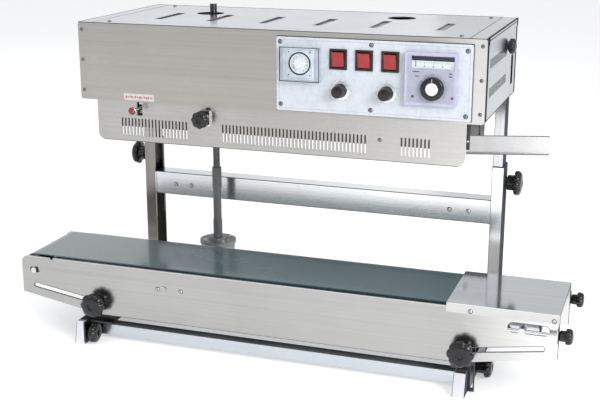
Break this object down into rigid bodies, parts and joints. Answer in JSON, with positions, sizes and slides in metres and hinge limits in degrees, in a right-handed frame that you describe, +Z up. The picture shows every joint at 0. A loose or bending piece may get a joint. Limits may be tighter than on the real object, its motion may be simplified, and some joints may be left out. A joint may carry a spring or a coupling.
{
  "type": "continuous band sealer",
  "caption": "Upright continuous band sealer: a brushed stainless sealing head on two height-adjustable columns above a green belt conveyor on polished feet.",
  "frame": {"origin": "on the floor under the centre of the overall bounding box", "axes": "+X along the conveyor to the infeed end, -Y to the operator, +Z up"},
  "size_m": [0.8553, 0.355, 0.507],
  "materials": {
    "panel_steel": "brushed stainless sheet, horizontal grain",
    "bright_steel": "fine brushed stainless sheet",
    "polished_tube": "polished stainless, mirror-like",
    "column_steel": "polished stainless channel",
    "black_knob": "glossy black moulded plastic",
    "belt": "glossy dark green PVC belt",
    "cast_alloy": "cast aluminium, matt",
    "roller_steel": "turned steel",
    "screw_steel": "bright zinc plated steel",
    "sleeve_rubber": "matt black moulded sleeve",
    "shaft_black": "blackened steel rod",
    "control_white": "white printed sheet",
    "controller_grey": "lavender grey moulded plastic",
    "timer_grey": "pale grey moulded plastic with clear cover",
    "dial_black": "black moulded dial",
    "switch_red": "translucent red rocker",
    "bezel_black": "black switch frame",
    "pot_black": "black instrument knob",
    "lever_red": "red ball on a steel rod",
    "wheel_alloy": "turned aluminium",
    "press_rubber": "red silicone wheel",
    "band_brown": "brown PTFE coated glass cloth",
    "brass_block": "machined brass",
    "alloy_block": "machined aluminium",
    "motor_black": "black enamelled motor"
  },
  "bodies": {
    "base": {"left_foot": "polished_tube", "right_foot": "polished_tube", "front_cross_tube": "polished_tube", "left_outer_column": "column_steel", "right_outer_column": "column_steel", "column_crossbeam": "polished_tube", "left_conveyor_bracket": "bright_steel", "right_conveyor_bracket": "bright_steel"},
    "head": {"left_inner_column": "column_steel", "right_inner_column": "column_steel", "head_deck": "panel_steel", "head_front_panel": "panel_steel", "head_top_cover": "panel_steel", "left_side_cover": "panel_steel", "right_side_cover": "panel_steel", "lower_guard": "panel_steel", "control_panel": "control_white", "temperature_controller": "controller_grey", "timer_body": "timer_grey", "rocker_bezels": "bezel_black", "head_screws": "screw_steel", "infeed_guides": "bright_steel", "heating_blocks": "brass_block", "cooling_blocks": "alloy_block", "sealing_bands": "band_brown", "gear_motor": "motor_black"},
    "conveyor": {"conveyor_front_plate": "panel_steel", "conveyor_rear_plate": "panel_steel", "conveyor_belt": "belt", "conveyor_end_cover": "bright_steel", "conveyor_screws": "screw_steel", "conveyor_gearbox": "cast_alloy"},
    "left_column_knob": {"left_column_knob": "black_knob"},
    "right_column_knob": {"right_column_knob": "black_knob"},
    "left_foot_knob": {"left_foot_knob": "black_knob"},
    "right_foot_knob": {"right_foot_knob": "black_knob"},
    "outfeed_roller": {"outfeed_roller": "roller_steel"},
    "drive_roller": {"drive_roller": "roller_steel"},
    "tension_axle": {"tension_axle": "roller_steel"},
    "infeed_roller": {"infeed_roller": "roller_steel"},
    "front_tension_knob": {"front_tension_knob": "black_knob"},
    "rear_tension_knob": {"rear_tension_knob": "black_knob"},
    "left_clamp_knob": {"left_clamp_knob": "black_knob"},
    "right_clamp_knob": {"right_clamp_knob": "black_knob"},
    "lower_drive_sleeve": {"lower_drive_sleeve": "sleeve_rubber"},
    "power_switch": {"power_switch": "switch_red"},
    "heater_switch": {"heater_switch": "switch_red"},
    "fan_switch": {"fan_switch": "switch_red"},
    "speed_knob": {"speed_knob": "pot_black"},
    "seal_time_knob": {"seal_time_knob": "pot_black"},
    "temperature_dial": {"temperature_dial": "dial_black"},
    "release_lever": {"release_lever": "lever_red"},
    "pressure_knob": {"pressure_knob": "black_knob"},
    "side_knob": {"side_knob": "black_knob"},
    "front_drive_wheel": {"front_drive_wheel": "wheel_alloy"},
    "rear_drive_wheel": {"rear_drive_wheel": "wheel_alloy"},
    "front_idler_wheel": {"front_idler_wheel": "wheel_alloy"},
    "rear_idler_wheel": {"rear_idler_wheel": "wheel_alloy"},
    "press_wheel": {"press_wheel": "press_rubber"},
    "upper_drive_shaft": {"upper_drive_shaft": "shaft_black"}
  },
  "joints": [
    {"name": "head_height", "type": "slide", "parent": "base", "child": "head", "axis": [0, 0, 1], "range_m": [-0.03, 0.055]},
    {"name": "conveyor_height", "type": "slide", "parent": "base", "child": "conveyor", "axis": [0, 0, 1], "range_m": [-0.006, 0.012]},
    {"name": "left_column_knob_turn", "type": "hinge", "parent": "base", "child": "left_column_knob", "pos_m": [-0.331, 0.107, 0.243], "axis": [-1, 0, 0], "range_deg": [-720, 0]},
    {"name": "right_column_knob_turn", "type": "hinge", "parent": "base", "child": "right_column_knob", "pos_m": [0.289, 0.107, 0.243], "axis": [1, 0, 0], "range_deg": [-720, 0]},
    {"name": "left_foot_knob_turn", "type": "hinge", "parent": "base", "child": "left_foot_knob", "pos_m": [-0.3075, -0.1585, 0.017], "axis": [1, 0, 0], "range_deg": [-720, 0]},
    {"name": "right_foot_knob_turn", "type": "hinge", "parent": "base", "child": "right_foot_knob", "pos_m": [0.2875, -0.088, 0.017], "axis": [1, 0, 0], "range_deg": [-720, 0]},
    {"name": "left_clamp_knob_turn", "type": "hinge", "parent": "conveyor", "child": "left_clamp_knob", "pos_m": [-0.2955, -0.15, 0.064], "axis": [0, -1, 0], "range_deg": [-720, 0]},
    {"name": "right_clamp_knob_turn", "type": "hinge", "parent": "conveyor", "child": "right_clamp_knob", "pos_m": [0.277, -0.15, 0.064], "axis": [0, -1, 0], "range_deg": [-720, 0]},
    {"name": "pressure_knob_turn", "type": "hinge", "parent": "head", "child": "pressure_knob", "pos_m": [-0.127, -0.112, 0.358], "axis": [0, -1, 0], "range_deg": [-360, 360]},
    {"name": "side_knob_turn", "type": "hinge", "parent": "head", "child": "side_knob", "pos_m": [0.2852, 0.075, 0.459], "axis": [1, 0, 0], "range_deg": [-180, 180]},
    {"name": "front_tension_knob_turn", "type": "hinge", "parent": "conveyor", "child": "front_tension_knob", "pos_m": [0.407, -0.156, 0.1055], "axis": [1, 0, 0], "range_deg": [-5400, 0]},
    {"name": "rear_tension_knob_turn", "type": "hinge", "parent": "conveyor", "child": "rear_tension_knob", "pos_m": [0.407, -0.008, 0.1055], "axis": [1, 0, 0], "range_deg": [-5400, 0]},
    {"name": "belt_tension", "type": "slide", "parent": "conveyor", "child": "tension_axle", "axis": [1, 0, 0], "range_m": [-0.012, 0]},
    {"name": "outfeed_roller_turn", "type": "hinge", "parent": "conveyor", "child": "outfeed_roller", "pos_m": [-0.4044, -0.08, 0.1055], "axis": [0, 1, 0], "continuous": true},
    {"name": "infeed_roller_turn", "type": "hinge", "parent": "tension_axle", "child": "infeed_roller", "pos_m": [0.3576, -0.08, 0.1055], "axis": [0, 1, 0], "continuous": true},
    {"name": "drive_roller_turn", "type": "hinge", "parent": "conveyor", "child": "drive_roller", "pos_m": [-0.182, -0.08, 0.0985], "axis": [0, 1, 0], "continuous": true},
    {"name": "sleeve_turn", "type": "hinge", "parent": "conveyor", "child": "lower_drive_sleeve", "pos_m": [-0.182, 0.0626, 0.18], "axis": [0, 0, 1], "continuous": true},
    {"name": "shaft_turn", "type": "hinge", "parent": "head", "child": "upper_drive_shaft", "pos_m": [-0.182, 0.0626, 0.4], "axis": [0, 0, 1], "continuous": true},
    {"name": "front_drive_wheel_turn", "type": "hinge", "parent": "head", "child": "front_drive_wheel", "pos_m": [-0.268, -0.0874, 0.344], "axis": [0, 0, 1], "continuous": true},
    {"name": "rear_drive_wheel_turn", "type": "hinge", "parent": "head", "child": "rear_drive_wheel", "pos_m": [-0.268, -0.0506, 0.344], "axis": [0, 0, 1], "continuous": true},
    {"name": "front_idler_wheel_turn", "type": "hinge", "parent": "head", "child": "front_idler_wheel", "pos_m": [0.222, -0.0874, 0.344], "axis": [0, 0, 1], "continuous": true},
    {"name": "rear_idler_wheel_turn", "type": "hinge", "parent": "head", "child": "rear_idler_wheel", "pos_m": [0.222, -0.0506, 0.344], "axis": [0, 0, 1], "continuous": true},
    {"name": "press_wheel_turn", "type": "hinge", "parent": "head", "child": "press_wheel", "pos_m": [-0.127, -0.0824, 0.344], "axis": [0, 0, 1], "continuous": true},
    {"name": "power_switch_rock", "type": "hinge", "parent": "head", "child": "power_switch", "pos_m": [0.0811, -0.112, 0.456], "axis": [1, 0, 0], "range_deg": [-12, 0]},
    {"name": "heater_switch_rock", "type": "hinge", "parent": "head", "child": "heater_switch", "pos_m": [0.1182, -0.112, 0.456], "axis": [1, 0, 0], "range_deg": [-12, 0]},
    {"name": "fan_switch_rock", "type": "hinge", "parent": "head", "child": "fan_switch", "pos_m": [0.1553, -0.112, 0.456], "axis": [1, 0, 0], "range_deg": [-12, 0]},
    {"name": "speed_knob_turn", "type": "hinge", "parent": "head", "child": "speed_knob", "pos_m": [0.0844, -0.114, 0.4125], "axis": [0, -1, 0], "range_deg": [0, 300]},
    {"name": "seal_time_knob_turn", "type": "hinge", "parent": "head", "child": "seal_time_knob", "pos_m": [0.1509, -0.114, 0.4125], "axis": [0, -1, 0], "range_deg": [0, 300]},
    {"name": "temperature_dial_turn", "type": "hinge", "parent": "head", "child": "temperature_dial", "pos_m": [0.2169, -0.123, 0.424], "axis": [0, -1, 0], "range_deg": [0, 300]},
    {"name": "release_lever_swing", "type": "hinge", "parent": "head", "child": "release_lever", "pos_m": [-0.2315, -0.092, 0.364], "axis": [1, 0, 0], "range_deg": [-12, 10]}
  ],
  "couplings": [
    {"joint": "infeed_roller_turn", "follows": "outfeed_roller_turn", "ratio": 1},
    {"joint": "drive_roller_turn", "follows": "outfeed_roller_turn", "ratio": 1.4375},
    {"joint": "sleeve_turn", "follows": "outfeed_roller_turn", "ratio": 1.4375},
    {"joint": "shaft_turn", "follows": "outfeed_roller_turn", "ratio": 1.4375},
    {"joint": "front_drive_wheel_turn", "follows": "outfeed_roller_turn", "ratio": -1.36},
    {"joint": "rear_drive_wheel_turn", "follows": "outfeed_roller_turn", "ratio": 1.36},
    {"joint": "front_idler_wheel_turn", "follows": "outfeed_roller_turn", "ratio": -1.36},
    {"joint": "rear_idler_wheel_turn", "follows": "outfeed_roller_turn", "ratio": 1.36},
    {"joint": "press_wheel_turn", "follows": "outfeed_roller_turn", "ratio": -2},
    {"joint": "front_tension_knob_turn", "follows": "belt_tension", "rad_per_m": 7854},
    {"joint": "rear_tension_knob_turn", "follows": "belt_tension", "rad_per_m": 7854}
  ]
}
